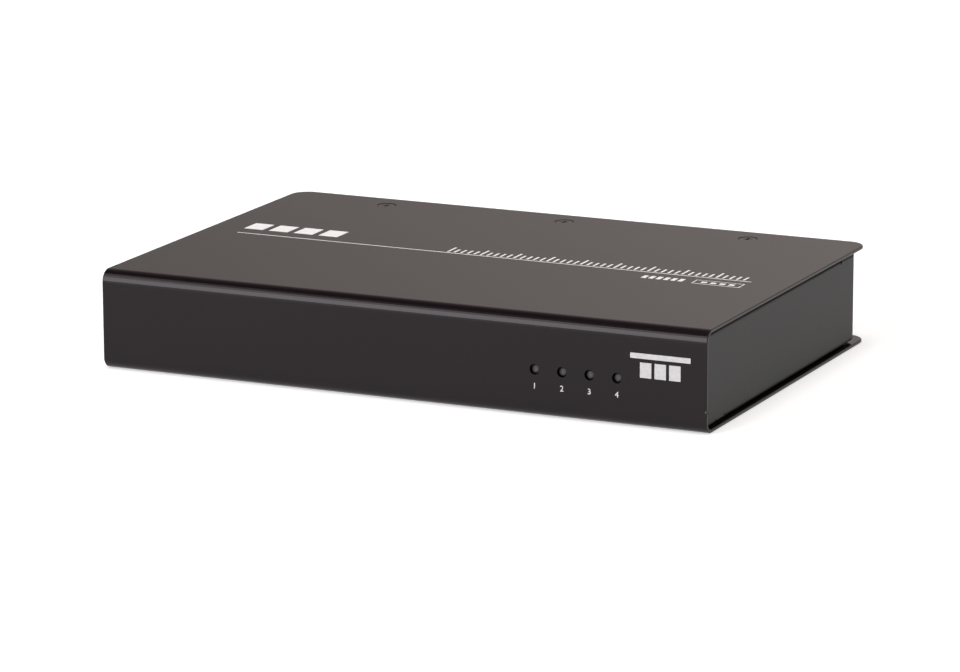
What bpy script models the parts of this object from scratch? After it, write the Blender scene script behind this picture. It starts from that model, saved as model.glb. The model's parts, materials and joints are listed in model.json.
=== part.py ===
"""KVM extender: a flat metal box that carries a computer's video, keys and sound over one network lead.

The case is two folded sheets. The wrap cover is one sheet bent round the front, so the top, the
front and the bottom are a single piece. The tray stands inside it, with side walls set back from
the cover's edges. A rear panel between the walls carries the sockets, and its two flanges take the
cover screws. The board lies on four pillars.

Metres, +Z up, +X to the right seen from the front, and the front faces -Y. The origin is under the
middle of the case, on the surface that it stands on.
"""
import math

import bmesh
import bpy
from mathutils import Matrix, Vector

# Case
CASE_WIDTH = 0.2000
CASE_DEPTH = 0.1330
CASE_HEIGHT = 0.0310
FIT = 0.0003                    # gap between pieces that touch on the real one

# Wrap cover
COVER_SHEET = 0.0010
COVER_BEND = 0.0038             # outer radius of the two front bends
REAR_CORNER = 0.0060            # radius of the corners at the back
DEBURR = 0.00020                # broken edge of the cut sheet
MARK_NOTCH_RADIUS = 0.0006      # bend mark nibbled in the front's right edge
MARK_NOTCH_HEIGHT = 0.0068

# Tray
TRAY_SHEET = 0.0010
TRAY_BEND = 0.0015              # outer radius
SIDE_INSET = 0.0012             # side walls stand back from the cover's edges
WALL_OVERHANG = 0.0098          # cover past the side walls at the back
WALL_LIFT = 0.0010              # unfolded front end of a wall over the cover's bottom
FLOOR_FOLD_START = 0.0170       # from the front
FLOOR_STRIP = 0.0060            # floor that runs on beside the rear panel's lower flange
RELIEF_WIDTH = 0.0006
RELIEF_DEPTH = 0.0001
TAB_LENGTH = 0.0060
TAB_NOTCH = 0.0010
TAB_NOTCH_DEPTH = 0.0004
LIP_FOLD_END = 0.0210           # from the back
LIP_WIDTH = 0.0080

# Rear panel
PANEL_SHEET = 0.0010
PANEL_BEND = 0.0015             # outer radius
PANEL_RECESS = 0.0160           # from the cover's rear edge to the panel's face
PANEL_FLANGE = 0.0115           # from the panel's face
PANEL_CORNER_GAP = 0.0010
EAR_HEIGHT = 0.0140
EAR_LENGTH = 0.0080

# Countersunk cover screws, three in the top and three in the bottom
SCREW_PITCH = 0.0632
SCREW_INSET = 0.0096            # from the cover's rear edge
SCREW_SHANK = 0.0028
SCREW_HEAD = 0.0056
SCREW_RIM = 0.0002
SCREW_LENGTH = 0.0045
SCREW_SINK = 0.0001             # head below the sheet's face
CROSS_SPAN = 0.0032
CROSS_WIDTH = 0.0008
CROSS_DEPTH = 0.0009
CROSS_TAPER = 0.6

# Board, pillars and their screws
BOARD_THICKNESS = 0.0016
BOARD_SIDE_GAP = 0.0040         # to the tray's walls
BOARD_FRONT_GAP = 0.0035        # to the inside of the cover's front
BOARD_REAR_GAP = 0.0006         # to the inside of the rear panel
BOARD_CORNER = 0.0020
PILLAR_HEIGHT = 0.0050
PILLAR_ACROSS = 0.0055
PILLAR_STUD = 0.0034
PILLAR_SIDE_INSET = 0.0055      # from the board's edges
PILLAR_FRONT_INSET = 0.0080
PILLAR_REAR_INSET = 0.0200
BOARD_SCREW_SHANK = 0.0026
BOARD_SCREW_HEAD = 0.0052
BOARD_SCREW_HEAD_HEIGHT = 0.0018
BOARD_SCREW_LENGTH = 0.0050
PAN_CROWN = 0.72                # flat top, as a share of the head
PAN_SHOULDER = 0.90

# Indicator lamps behind the front
LAMP_COUNT = 4
LAMP_PITCH = 0.0088
LAMP_EDGE = 0.0284              # last lamp from the cover's right edge
LAMP_HEIGHT = 0.0144
LAMP_HOLE = 0.0032
LAMP_DIAMETER = 0.0030
LAMP_RECESS = 0.0001            # dome's tip behind the front's face
LAMP_COLLAR = 0.0038
LAMP_COLLAR_LENGTH = 0.0010
HOLDER_DEPTH = 0.0046
HOLDER_MARGIN = 0.0030          # round the bores
HOLDER_FRONT_GAP = 0.0006

# Sockets, spread in a row along the rear panel
SOCKET_END_SPACE = 3.7          # bare panel at each end of the row, in gaps between sockets
SOCKET_PROUD = 0.0008           # plain socket faces past the panel's face
SOCKET_CORNER = 0.0004

GROUND_WASHER = 0.0070
GROUND_WASHER_THICKNESS = 0.0006
GROUND_HEIGHT = 0.0160
GROUND_SCREW_LENGTH = 0.0060

POWER_SIZE = (0.0090, 0.0110, 0.0142)
POWER_BORE = 0.0063
POWER_PIN = 0.0021
POWER_BORE_DEPTH = 0.0095
POWER_PIN_SHORT = 0.0010

NETWORK_SIZE = (0.0160, 0.0134, 0.0180)
NETWORK_MOUTH = (0.0119, 0.0070)
NETWORK_MOUTH_DEPTH = 0.0130
NETWORK_MOUTH_RISE = 0.0010     # mouth's centre over the body's centre
NETWORK_LATCH = (0.0062, 0.0024)
NETWORK_LATCH_DEPTH = 0.0100
CONTACT_COUNT = 8
CONTACT_PITCH = 0.00102
CONTACT_WIDTH = 0.0005
CONTACT_HEIGHT = 0.0006
CONTACT_LENGTH = 0.0080
CONTACT_BAR = 0.0030

SQUARE_SIZE = (0.0120, 0.0108, 0.0160)
SQUARE_MOUTH = (0.0085, 0.0078)
SQUARE_MOUTH_CUT = 0.0018       # corner cut at the top of the mouth
SQUARE_MOUTH_DEPTH = 0.0110
SQUARE_TONGUE = (0.0056, 0.0032)
SQUARE_BASE_LENGTH = 0.0030

FLANGE_THICKNESS = 0.0010
COLLAR_REACH = 0.0048           # past the panel's face
COLLAR_WALL = 0.0006

VIDEO_FLANGE = (0.0396, 0.0130)
VIDEO_BODY = (0.0290, 0.0120, 0.0105)
VIDEO_COLLAR = (0.0258, 0.0098)
VIDEO_COLLAR_SLANT = 0.0010
VIDEO_COLLAR_CORNER = 0.0020
VIDEO_INSERT_SINK = 0.0006      # insert's face inside the collar
VIDEO_SLOT_PITCH = 0.0019
VIDEO_SLOT_SIZE = 0.0009
VIDEO_SLOT_DEPTH = 0.0020
VIDEO_SLOT_COLUMNS = 8
VIDEO_SLOT_ROWS = 3
VIDEO_BLADE_GAP = 0.0033        # slot field to the long blade slot
VIDEO_BLADE = 0.0050

SERIAL_FLANGE = (0.0308, 0.0125)
SERIAL_BODY = (0.0196, 0.0110, 0.0105)
SERIAL_COLLAR = (0.0182, 0.0086)
SERIAL_COLLAR_SLANT = 0.0008
SERIAL_COLLAR_CORNER = 0.0020
SERIAL_INSERT_HEIGHT = 0.0015
SERIAL_PIN = 0.0010
SERIAL_PIN_LENGTH = 0.0042
SERIAL_PIN_PITCH = 0.00277
SERIAL_ROW_PITCH = 0.00284
SERIAL_ROWS = (5, 4)

JACKSCREW_ACROSS = 0.0048
JACKSCREW_HEX = 0.0050
JACKSCREW_BORE = 0.0026
JACKSCREW_BORE_DEPTH = 0.0036
JACKSCREW_SHANK = 0.0026
JACKSCREW_SHANK_PAST = 0.0020   # past the socket's flange
JACKSCREW_EDGE = 0.0031         # axis from the flange's end

AUDIO_SIZE = (0.0080, 0.0090, 0.0120)
AUDIO_COLLAR = 0.0062
AUDIO_COLLAR_REACH = 0.0018
AUDIO_BORE = 0.0036
AUDIO_BORE_DEPTH = 0.0110
AUDIO_COUNT = 2

# Parts on the board
LINK_CHIP = (0.0140, 0.0140, 0.0014)
LINK_CHIP_REAR = 0.0480         # from the board's rear edge
SINK_SIZE = (0.0300, 0.0280)
SINK_BASE = 0.0020
SINK_FIN_HEIGHT = 0.0060
SINK_FIN_THICKNESS = 0.0012
SINK_FINS = 7
VIDEO_CHIP = (0.0120, 0.0120, 0.0012)
MEMORY_CHIP = (0.0100, 0.0060, 0.0010)
CHIP_GAP = 0.0060
TRANSFORMER = (0.0165, 0.0120, 0.0058)
TRANSFORMER_GAP = 0.0060        # behind the network socket's back
INDUCTOR = (0.0120, 0.0120, 0.0060)
INDUCTOR_CORNER = 0.0030
CAPACITOR_DIAMETER = 0.0080
CAPACITOR_HEIGHT = 0.0110
CAPACITOR_NECK = 0.0004
CAPACITOR_CRIMP = 0.0018
CAPACITOR_COUNT = 3
CAPACITOR_PITCH = 0.0110
CRYSTAL = (0.0110, 0.0046, 0.0034)
POWER_PARTS_GAP = 0.0080        # behind the power jack's back

# Facets
BEND_STEPS = 10
CORNER_STEPS = 8
SMALL_CORNER_STEPS = 3
ROUND_SIDES = 24
SMALL_SIDES = 12
PIN_SIDES = 8
SMOOTH_ANGLE = math.radians(32)

# Places worked out from the sizes
FRONT = -CASE_DEPTH / 2
REAR = CASE_DEPTH / 2
WALL_OUTER = CASE_WIDTH / 2 - SIDE_INSET
WALL_INNER = WALL_OUTER - TRAY_SHEET
FLOOR_UNDER = COVER_SHEET + FIT
FLOOR_TOP = FLOOR_UNDER + TRAY_SHEET
CEILING = CASE_HEIGHT - COVER_SHEET - FIT
PANEL_FACE = REAR - PANEL_RECESS
PANEL_BACK = PANEL_FACE - PANEL_SHEET
PANEL_EDGE = WALL_INNER - FIT
PANEL_TOP_SIDE = PANEL_EDGE - PANEL_CORNER_GAP      # half widths of the panel's two flanges
PANEL_LOW_SIDE = PANEL_TOP_SIDE - FLOOR_STRIP
SCREW_Y = REAR - SCREW_INSET
SCREW_XS = (-SCREW_PITCH, 0.0, SCREW_PITCH)
SCREW_CONE = COVER_SHEET - SCREW_SINK   # the head is as deep as the sheet
PILLAR_UNDER = FLOOR_TOP + FIT
BOARD_UNDER = PILLAR_UNDER + PILLAR_HEIGHT + FIT
BOARD_TOP = BOARD_UNDER + BOARD_THICKNESS
SEAT = BOARD_TOP + FIT          # underside of what is soldered to the board
BOARD_RIGHT = WALL_INNER - BOARD_SIDE_GAP
BOARD_FRONT = FRONT + COVER_SHEET + BOARD_FRONT_GAP
BOARD_REAR = PANEL_BACK - BOARD_REAR_GAP
PILLAR_XS = (-BOARD_RIGHT + PILLAR_SIDE_INSET, BOARD_RIGHT - PILLAR_SIDE_INSET)
PILLAR_YS = (BOARD_FRONT + PILLAR_FRONT_INSET, BOARD_REAR - PILLAR_REAR_INSET)

FINISHES = {
    # name: (colour, roughness, metallic)
    "brown_paint": ((0.095, 0.088, 0.082, 1.0), 0.50, 0.0),
    "grey_paint": ((0.072, 0.073, 0.072, 1.0), 0.55, 0.0),
    "zinc": ((0.55, 0.55, 0.53, 1.0), 0.35, 1.0),
    "black_screw": ((0.030, 0.030, 0.030, 1.0), 0.40, 0.8),
    "nickel": ((0.62, 0.60, 0.55, 1.0), 0.28, 1.0),
    "brass": ((0.60, 0.44, 0.16, 1.0), 0.35, 1.0),
    "board_green": ((0.010, 0.075, 0.030, 1.0), 0.45, 0.0),
    "black_plastic": ((0.018, 0.018, 0.018, 1.0), 0.55, 0.0),
    "white_plastic": ((0.70, 0.70, 0.68, 1.0), 0.50, 0.0),
    "lamp_resin": ((0.20, 0.20, 0.21, 1.0), 0.25, 0.0),
    "dark_aluminium": ((0.060, 0.060, 0.062, 1.0), 0.45, 0.7),
    "can_aluminium": ((0.60, 0.60, 0.61, 1.0), 0.30, 1.0),
    "ferrite": ((0.050, 0.050, 0.055, 1.0), 0.65, 0.0),
}


def clear_scene():
    """Start from nothing, so a second run leaves no copies."""
    for obj in list(bpy.data.objects):
        bpy.data.objects.remove(obj, do_unlink=True)


def add_object(name, bm, finish=None):
    """Turn a bmesh into a named object with its own material."""
    bmesh.ops.recalc_face_normals(bm, faces=bm.faces[:])
    mesh = bpy.data.meshes.new(name)
    bm.to_mesh(mesh)
    bm.free()
    mesh.shade_smooth()
    mesh.set_sharp_from_angle(angle=SMOOTH_ANGLE)
    obj = bpy.data.objects.new(name, mesh)
    bpy.context.scene.collection.objects.link(obj)
    if finish:
        colour, roughness, metallic = FINISHES[finish]
        material = bpy.data.materials.new(name + "_finish")
        material.use_nodes = True
        shader = material.node_tree.nodes["Principled BSDF"]
        shader.inputs["Base Color"].default_value = colour
        shader.inputs["Roughness"].default_value = roughness
        shader.inputs["Metallic"].default_value = metallic
        material.diffuse_color = colour
        mesh.materials.append(material)
    return obj


def boolean(target, bm, label, operation="DIFFERENCE"):
    """Cut a shape out of an object, or join it on, with a hidden tool body."""
    tool = add_object(target.name + "_" + label, bm)
    tool.hide_render = True
    tool.display_type = "WIRE"
    modifier = target.modifiers.new(label, "BOOLEAN")
    modifier.operation = operation
    modifier.solver = "EXACT"
    modifier.object = tool


def arc(centre, radius, start, end, steps):
    """Points on a circle from one angle to another, both ends included."""
    angles = [start + (end - start) * i / steps for i in range(steps + 1)]
    return [(centre[0] + radius * math.cos(a), centre[1] + radius * math.sin(a)) for a in angles]


def corner_arc(before, here, after, radius):
    """Centre, first angle and swept angle of the arc that rounds a corner."""
    here = Vector(here)
    to_before = (Vector(before) - here).normalized()
    to_after = (Vector(after) - here).normalized()
    half = to_before.angle(to_after) / 2
    centre = here + (to_before + to_after).normalized() * (radius / math.sin(half))
    first = here + to_before * (radius / math.tan(half)) - centre
    last = here + to_after * (radius / math.tan(half)) - centre
    sweep = math.atan2(first.x * last.y - first.y * last.x, first.dot(last))
    return centre, math.atan2(first.y, first.x), sweep


def rounded(corners, steps=CORNER_STEPS):
    """Outline of a polygon given as (u, v, corner radius)."""
    outline = []
    for i, (u, v, radius) in enumerate(corners):
        if radius <= 0.0:
            outline.append((u, v))
            continue
        before = corners[i - 1][:2]
        after = corners[(i + 1) % len(corners)][:2]
        centre, start, sweep = corner_arc(before, (u, v), after, radius)
        outline += arc(centre, radius, start, start + sweep, steps)
    return outline


def folded_section(corners, radius, thickness, steps=BEND_STEPS):
    """Cross-section of a sheet that is folded the same way at each inner corner."""
    first_edge = Vector(corners[1]) - Vector(corners[0])
    last_edge = Vector(corners[-1]) - Vector(corners[-2])
    next_edge = Vector(corners[2]) - Vector(corners[1])
    turn = math.copysign(1.0, first_edge.cross(next_edge))

    def inward(point, edge):
        side = Vector((-edge.y, edge.x)).normalized() * turn * thickness
        return (point[0] + side.x, point[1] + side.y)

    outer = [corners[0]]
    inner = [inward(corners[0], first_edge)]
    for before, here, after in zip(corners, corners[1:], corners[2:]):
        centre, start, sweep = corner_arc(before, here, after, radius)
        outer += arc(centre, radius, start, start + sweep, steps)
        inner += arc(centre, radius - thickness, start, start + sweep, steps)
    outer.append(corners[-1])
    inner.append(inward(corners[-1], last_edge))
    return outer + inner[::-1]


def point_across(axis, u, v, station):
    """A point of an outline that is drawn across an axis."""
    return {"X": (station, u, v), "Y": (u, station, v), "Z": (u, v, station)}[axis]


def prism(axis, outline, low, high, bm=None):
    """An outline drawn across an axis and extruded along it."""
    bm = bm or bmesh.new()
    start = [bm.verts.new(point_across(axis, u, v, low)) for u, v in outline]
    end = [bm.verts.new(point_across(axis, u, v, high)) for u, v in outline]
    bm.faces.new(start)
    bm.faces.new(end[::-1])
    for i in range(len(outline)):
        j = (i + 1) % len(outline)
        bm.faces.new((start[i], end[i], end[j], start[j]))
    return bm


def loft(axis, rings, bm=None):
    """Rings of (outline, station) joined one to the next and closed at both ends."""
    bm = bm or bmesh.new()
    loops = [[bm.verts.new(point_across(axis, u, v, station)) for u, v in outline]
             for outline, station in rings]
    bm.faces.new(loops[0])
    bm.faces.new(loops[-1][::-1])
    for near, far in zip(loops, loops[1:]):
        for i in range(len(near)):
            j = (i + 1) % len(near)
            bm.faces.new((near[i], far[i], far[j], near[j]))
    return bm


def circle(diameter, centre=(0.0, 0.0), sides=ROUND_SIDES):
    """Points of a circle, from the corner at -135 degrees round to it again."""
    start = -0.75 * math.pi
    return arc(centre, diameter / 2, start, start + 2 * math.pi, sides)[:-1]


def hexagon(across, centre=(0.0, 0.0), sides=SMALL_SIDES):
    """A hexagon with as many points as a small circle, so that the two can be joined."""
    points = []
    for i in range(sides):
        angle = -0.75 * math.pi + 2 * math.pi * i / sides
        off_flat = (angle + math.pi / 4) % (math.pi / 3) - math.pi / 6
        reach = across / 2 / math.cos(off_flat)
        points.append((centre[0] + reach * math.cos(angle), centre[1] + reach * math.sin(angle)))
    return points


def slab(size, centre=(0.0, 0.0), corner=SOCKET_CORNER, slant=0.0, steps=SMALL_CORNER_STEPS,
         top_corner=None):
    """A rounded rectangle, or a D shape where its bottom edge is shorter by a slant."""
    half_u, half_v = size[0] / 2, size[1] / 2
    top = corner if top_corner is None else top_corner
    corners = [
        (centre[0] - half_u + slant, centre[1] - half_v, corner),
        (centre[0] + half_u - slant, centre[1] - half_v, corner),
        (centre[0] + half_u, centre[1] + half_v, top),
        (centre[0] - half_u, centre[1] + half_v, top),
    ]
    return rounded(corners, steps)


def cross(span, width, scale=1.0):
    """A plus sign with six points to each arm, to match a circle of 24."""
    half, reach = width * scale / 2, span * scale / 2
    middle = (half + reach) / 2
    arm = [(half, -half), (middle, -half), (reach, -half), (reach, 0.0), (reach, half), (middle, half)]
    points = []
    for quarter in (-1, 0, 1, 2):
        turn = Matrix.Rotation(quarter * math.pi / 2, 2)
        points += [tuple(turn @ Vector(p)) for p in arm]
    return points


def edge_face(bm, normal, near):
    """The face with this normal that is nearest to a point."""
    near, normal = Vector(near), Vector(normal)
    bm.normal_update()
    facing = [f for f in bm.faces if f.normal.dot(normal) > 0.999]
    return min(facing, key=lambda f: (f.calc_center_median() - near).length)


def pushed(bm, face, matrix):
    """Extrude one face and move the new one."""
    face = bmesh.ops.extrude_discrete_faces(bm, faces=[face])["faces"][0]
    bmesh.ops.transform(bm, matrix=matrix, verts=face.verts)
    return face


def fold(bm, face, towards, inner_radius, run, steps=4):
    """Fold a flange off a sheet's edge by a right angle, then run it on."""
    bm.normal_update()
    normal, towards = face.normal.copy(), Vector(towards)
    inner_edge = max((v.co for v in face.verts), key=lambda co: co.dot(towards))
    centre = inner_edge + towards * inner_radius
    axis = normal.cross(towards)
    step = (Matrix.Translation(centre) @ Matrix.Rotation(math.pi / 2 / steps, 4, axis)
            @ Matrix.Translation(-centre))
    for _ in range(steps):
        face = pushed(bm, face, step)
    return pushed(bm, face, Matrix.Translation(towards * run))


def wrap_cover():
    """Top, front and bottom: one sheet with two bends at the front."""
    corners = [(REAR, CASE_HEIGHT), (FRONT, CASE_HEIGHT), (FRONT, 0.0), (REAR, 0.0)]
    section = folded_section(corners, COVER_BEND, COVER_SHEET)
    half = CASE_WIDTH / 2
    bm = prism("X", section, -half, half)
    near = 1e-6
    rear_edges = [e for e in bm.edges
                  if all(v.co.y > REAR - near for v in e.verts)
                  and abs(e.verts[0].co.x - e.verts[1].co.x) < near]
    bmesh.ops.bevel(bm, geom=rear_edges, offset=REAR_CORNER, offset_type="OFFSET",
                    segments=CORNER_STEPS, profile=0.5, affect="EDGES")
    bm.normal_update()
    rim = [e for e in bm.edges if len(e.link_faces) == 2 and e.calc_face_angle() > math.radians(80)]
    bmesh.ops.bevel(bm, geom=rim, offset=DEBURR, offset_type="OFFSET", segments=1, profile=0.5,
                    affect="EDGES")
    cover = add_object("wrap_cover", bm, "brown_paint")

    holes = bmesh.new()
    past = COVER_SHEET
    for x in SCREW_XS:
        for face, inward in ((CASE_HEIGHT, -1), (0.0, 1)):
            centre = (x, SCREW_Y)
            loft("Z", [
                (circle(SCREW_HEAD + 2 * FIT, centre), face - inward * past),
                (circle(SCREW_HEAD + 2 * FIT, centre), face + inward * (SCREW_SINK + SCREW_RIM)),
                (circle(SCREW_SHANK + 2 * FIT, centre), face + inward * COVER_SHEET),
                (circle(SCREW_SHANK + 2 * FIT, centre), face + inward * (COVER_SHEET + past)),
            ], holes)
    for x in lamp_places():
        prism("Y", circle(LAMP_HOLE, (x, LAMP_HEIGHT)), FRONT - past, FRONT + COVER_SHEET + past,
              holes)
    prism("Y", circle(2 * MARK_NOTCH_RADIUS, (half, MARK_NOTCH_HEIGHT)),
          FRONT - past, FRONT + COVER_SHEET + past, holes)
    boolean(cover, holes, "holes")


def tray():
    """Floor, side walls and top lips: one half folded from its wall, then mirrored.

    The floor is cut back between two strips, to let the rear panel's lower flange reach the cover.
    """
    floor_bend = FLOOR_UNDER + TRAY_BEND
    lip_bend = CEILING - TRAY_BEND
    wall_under = COVER_SHEET + WALL_LIFT
    wall_front = FRONT + COVER_SHEET + FIT
    wall_rear = REAR - WALL_OVERHANG
    fold_start = FRONT + FLOOR_FOLD_START
    tab_end = fold_start - RELIEF_WIDTH
    tab_start = tab_end - TAB_LENGTH
    notch_start = tab_start - TAB_NOTCH
    lip_end = REAR - LIP_FOLD_END
    lip_start = FRONT + COVER_BEND + FIT
    front_corner = COVER_BEND - COVER_SHEET - FIT
    outline = rounded([
        (wall_front, wall_under, front_corner / 2),
        (notch_start, wall_under, 0.0),
        (notch_start, wall_under + TAB_NOTCH_DEPTH, 0.0),
        (tab_start, wall_under + TAB_NOTCH_DEPTH, 0.0),
        (tab_start, wall_under, 0.0),
        (tab_end, wall_under, 0.0),
        (tab_end, floor_bend + RELIEF_DEPTH, 0.0),
        (fold_start, floor_bend + RELIEF_DEPTH, 0.0),
        (fold_start, floor_bend, 0.0),
        (wall_rear, floor_bend, 0.0),
        (wall_rear, CEILING, DEBURR),
        (lip_end + RELIEF_WIDTH, CEILING, 0.0),
        (lip_end + RELIEF_WIDTH, lip_bend - RELIEF_DEPTH, 0.0),
        (lip_end, lip_bend - RELIEF_DEPTH, 0.0),
        (lip_end, lip_bend, 0.0),
        (lip_start, lip_bend, 0.0),
        (lip_start, lip_bend - RELIEF_DEPTH, 0.0),
        (wall_front, lip_bend - RELIEF_DEPTH, front_corner / 2),
    ])
    bm = prism("X", outline, WALL_INNER, WALL_OUTER)
    bmesh.ops.recalc_face_normals(bm, faces=bm.faces[:])
    middle = (WALL_INNER + WALL_OUTER) / 2
    inner_radius = TRAY_BEND - TRAY_SHEET

    lip_edge = edge_face(bm, (0, 0, 1), (middle, (lip_start + lip_end) / 2, lip_bend))
    fold(bm, lip_edge, (-1, 0, 0), inner_radius, LIP_WIDTH - TRAY_BEND)

    floor_edge = edge_face(bm, (0, 0, -1), (middle, (fold_start + wall_rear) / 2, floor_bend))
    flat_half = WALL_OUTER - TRAY_BEND
    fold(bm, floor_edge, (-1, 0, 0), inner_radius, flat_half)
    floor_middle = (flat_half / 2, FLOOR_UNDER + TRAY_SHEET / 2)
    floor_front = FRONT + COVER_BEND + FIT
    front_edge = edge_face(bm, (0, -1, 0), (floor_middle[0], fold_start, floor_middle[1]))
    pushed(bm, front_edge, Matrix.Translation((0, floor_front - fold_start, 0)))

    bm.normal_update()
    seam = [f for f in bm.faces if all(abs(v.co.x) < 1e-7 for v in f.verts)]
    bmesh.ops.delete(bm, geom=seam, context="FACES_ONLY")
    mesh_tray = add_object("chassis_tray", bm, "grey_paint")
    mirror = mesh_tray.modifiers.new("other_half", "MIRROR")
    mirror.use_axis = (True, False, False)
    mirror.merge_threshold = 0.00001

    past = TRAY_SHEET
    low, high = FLOOR_UNDER - past, FLOOR_TOP + past
    holes = bmesh.new()
    flange_gap = 2 * (PANEL_LOW_SIDE + FIT)
    gap_front, gap_rear = PANEL_BACK - FIT, wall_rear + past
    prism("Z", slab((flange_gap, gap_rear - gap_front), (0.0, (gap_front + gap_rear) / 2), 0.0),
          low, high, holes)
    for x in PILLAR_XS:
        for y in PILLAR_YS:
            prism("Z", circle(PILLAR_STUD + 2 * FIT, (x, y)), low, high, holes)
    boolean(mesh_tray, holes, "openings")


def socket_row():
    """Middle of each socket along the rear panel, evenly spread from +X to -X."""
    widths = [
        ("ground", GROUND_WASHER),
        ("power", POWER_SIZE[0]),
        ("network", NETWORK_SIZE[0]),
        ("square", SQUARE_SIZE[0]),
        ("video", VIDEO_FLANGE[0]),
        ("serial", SERIAL_FLANGE[0]),
    ]
    widths += [("audio_%d" % (i + 1), AUDIO_SIZE[0]) for i in range(AUDIO_COUNT)]
    bare = 2 * PANEL_EDGE - sum(width for _, width in widths)
    gap = bare / (len(widths) - 1 + 2 * SOCKET_END_SPACE)
    edge = PANEL_EDGE - SOCKET_END_SPACE * gap
    places = {}
    for name, width in widths:
        places[name] = edge - width / 2
        edge -= width + gap
    return places


def grown(size, by=FIT):
    """A width and height made larger by a gap all round."""
    return (size[0] + 2 * by, size[1] + 2 * by)


def jackscrew_places(x, flange):
    """The two jackscrews of a flanged socket."""
    reach = flange[0] / 2 - JACKSCREW_EDGE
    return (x - reach, x + reach)


def rear_panel():
    """The socket panel, folded from its flat: two flanges for the screws and two ears."""
    places = socket_row()
    side_bend = PANEL_EDGE - PANEL_BEND
    low_bend, high_bend = FLOOR_UNDER + PANEL_BEND, CEILING - PANEL_BEND
    middle = (low_bend + high_bend) / 2
    ear_low, ear_high = middle - EAR_HEIGHT / 2, middle + EAR_HEIGHT / 2
    right = [
        (PANEL_LOW_SIDE, low_bend),
        (PANEL_LOW_SIDE, low_bend + PANEL_CORNER_GAP),
        (PANEL_EDGE, low_bend + PANEL_CORNER_GAP),
        (PANEL_EDGE, ear_low),
        (side_bend, ear_low),
        (side_bend, ear_high),
        (PANEL_EDGE, ear_high),
        (PANEL_EDGE, high_bend - PANEL_CORNER_GAP),
        (PANEL_TOP_SIDE, high_bend - PANEL_CORNER_GAP),
        (PANEL_TOP_SIDE, high_bend),
    ]
    left = [(-x, z) for x, z in reversed(right)]
    bm = prism("Y", right + left, PANEL_BACK, PANEL_FACE)
    bmesh.ops.recalc_face_normals(bm, faces=bm.faces[:])
    depth_middle = (PANEL_BACK + PANEL_FACE) / 2
    inner_radius = PANEL_BEND - PANEL_SHEET
    for normal, z in (((0, 0, 1), high_bend), ((0, 0, -1), low_bend)):
        edge = edge_face(bm, normal, (0, depth_middle, z))
        fold(bm, edge, (0, 1, 0), inner_radius, PANEL_FLANGE - inner_radius)
    for side in (-1, 1):
        edge = edge_face(bm, (side, 0, 0), (side * side_bend, depth_middle, middle))
        fold(bm, edge, (0, -1, 0), inner_radius, EAR_LENGTH - inner_radius)
    panel = add_object("rear_panel", bm, "grey_paint")

    past = PANEL_SHEET
    low, high = PANEL_BACK - past, PANEL_FACE + past
    holes = bmesh.new()
    prism("Y", circle(BOARD_SCREW_SHANK + 2 * FIT, (places["ground"], GROUND_HEIGHT)),
          low, high, holes)
    for name, size in (("power", POWER_SIZE), ("network", NETWORK_SIZE), ("square", SQUARE_SIZE)):
        centre = (places[name], SEAT + size[1] / 2)
        prism("Y", slab(grown(size), centre), low, high, holes)
    for i in range(AUDIO_COUNT):
        centre = (places["audio_%d" % (i + 1)], SEAT + AUDIO_SIZE[1] / 2)
        prism("Y", circle(AUDIO_COLLAR + 2 * FIT, centre), low, high, holes)
    for name, flange, collar, slant, corner in (
            ("video", VIDEO_FLANGE, VIDEO_COLLAR, VIDEO_COLLAR_SLANT, VIDEO_COLLAR_CORNER),
            ("serial", SERIAL_FLANGE, SERIAL_COLLAR, SERIAL_COLLAR_SLANT, SERIAL_COLLAR_CORNER)):
        height = SEAT + flange[1] / 2
        prism("Y", slab(grown(collar), (places[name], height), corner, slant), low, high, holes)
        for x in jackscrew_places(places[name], flange):
            prism("Y", circle(JACKSCREW_SHANK + 2 * FIT, (x, height)), low, high, holes)
    for x in SCREW_XS:
        for z in (FLOOR_UNDER, CEILING - PANEL_SHEET):
            prism("Z", circle(SCREW_SHANK + 2 * FIT, (x, SCREW_Y), SMALL_SIDES), z - past / 2,
                  z + PANEL_SHEET + past / 2, holes)
    boolean(panel, holes, "holes")


def cover_screws():
    """Countersunk screws through the cover into the rear panel's flanges."""
    for side, face, inward in (("top", CASE_HEIGHT, -1), ("bottom", 0.0, 1)):
        for number, x in enumerate(SCREW_XS, 1):
            centre = (x, SCREW_Y)

            def at(depth):
                return face + inward * (SCREW_SINK + depth)

            bm = loft("Z", [
                (moved_cross(centre, CROSS_TAPER), at(CROSS_DEPTH)),
                (moved_cross(centre), at(0.0)),
                (circle(SCREW_HEAD, centre), at(0.0)),
                (circle(SCREW_HEAD, centre), at(SCREW_RIM)),
                (circle(SCREW_SHANK, centre), at(SCREW_CONE)),
                (circle(SCREW_SHANK, centre), at(SCREW_LENGTH - SCREW_SHANK / 4)),
                (circle(SCREW_SHANK / 2, centre), at(SCREW_LENGTH)),
            ])
            add_object("cover_screw_%s_%d" % (side, number), bm, "black_screw")


def moved_cross(centre, scale=1.0):
    """The driver recess's outline on a screw's axis."""
    return [(centre[0] + u, centre[1] + v) for u, v in cross(CROSS_SPAN, CROSS_WIDTH, scale)]


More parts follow.
